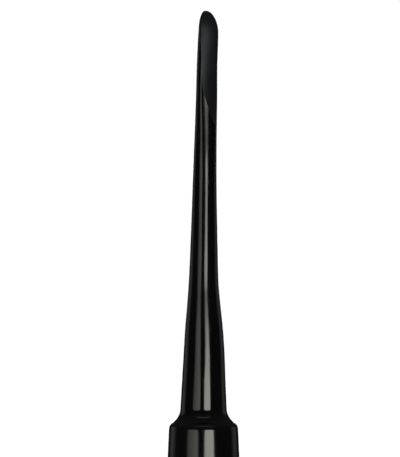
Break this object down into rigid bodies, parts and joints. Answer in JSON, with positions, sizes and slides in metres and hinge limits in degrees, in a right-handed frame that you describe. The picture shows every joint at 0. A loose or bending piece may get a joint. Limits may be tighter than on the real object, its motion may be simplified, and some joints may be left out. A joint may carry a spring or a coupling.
{
  "type": "clay shaper tool",
  "caption": "Slim hand tool for shaping clay: a long tapering shaft ends in a small round-nosed knife blade and plugs into a smooth round handle with a flat butt.",
  "frame": {"origin": "centre of the flat butt face, where the tool stands upright", "axes": "+Z along the tool from its butt to the tip of the blade, +X towards the blade's cutting edge, -Y out of the front facet"},
  "size_m": [0.01, 0.01, 0.1649],
  "materials": {
    "tip_black": "polished black, with satin ground facets",
    "handle_black": "polished black",
    "cap_black": "polished black",
    "pin_steel": "drawn wire"
  },
  "bodies": {
    "root": {"shaper_tip": "tip_black", "stiffening_pin": "pin_steel", "handle_barrel": "handle_black", "tail_cap": "cap_black"}
  },
  "joints": []
}
